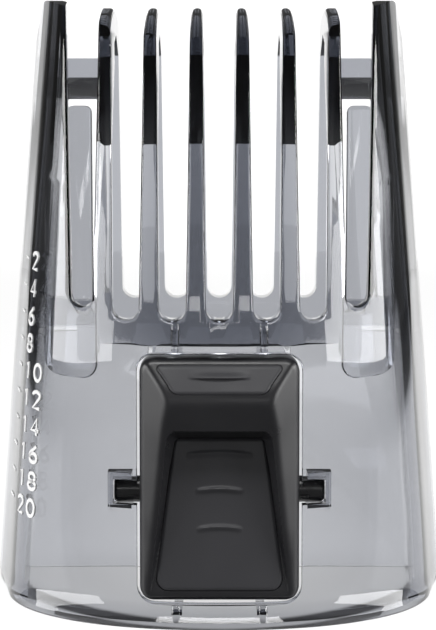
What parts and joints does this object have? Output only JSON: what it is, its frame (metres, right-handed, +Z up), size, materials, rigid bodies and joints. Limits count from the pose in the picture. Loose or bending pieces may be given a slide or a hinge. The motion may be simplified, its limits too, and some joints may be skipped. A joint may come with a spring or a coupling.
{
  "type": "trimmer guard comb",
  "caption": "Clear tapered guard comb sleeve with long upright teeth, a printed length scale and a sprung rocking latch that locks it on a hair trimmer's head.",
  "frame": {"origin": "middle of the footprint's bounding box, on the bottom rim", "axes": "+Z up along the teeth, -Y towards the latch, +X to the right as seen from the latch"},
  "size_m": [0.05, 0.0306, 0.0638],
  "materials": {
    "smoke_clear": "clear smoke-tinted moulding, polished",
    "latch_black": "fine moulded satin",
    "grip_black": "soft matte",
    "pin_black": "smooth",
    "spring_steel": "drawn wire",
    "seat_grey": "moulded",
    "print_white": "printed ink"
  },
  "bodies": {
    "sleeve": {"comb_body": "smoke_clear", "rear_cover": "smoke_clear", "spring_seat": "seat_grey", "return_spring": "spring_steel", "scale_numerals": "print_white", "scale_ticks": "print_white"},
    "latch": {"latch_rocker": "latch_black", "thumb_grip": "grip_black", "finger_grip": "grip_black", "lock_pawl": "latch_black", "pivot_pin": "pin_black"}
  },
  "joints": [
    {"name": "latch_pivot", "type": "hinge", "parent": "sleeve", "child": "latch", "pos_m": [0, -0.0101, 0.0137], "axis": [1, 0, 0], "range_deg": [0, 5], "stiffness_Nm_per_rad": 0.05, "springref_deg": -5.73, "deforming": ["return_spring"]}
  ]
}
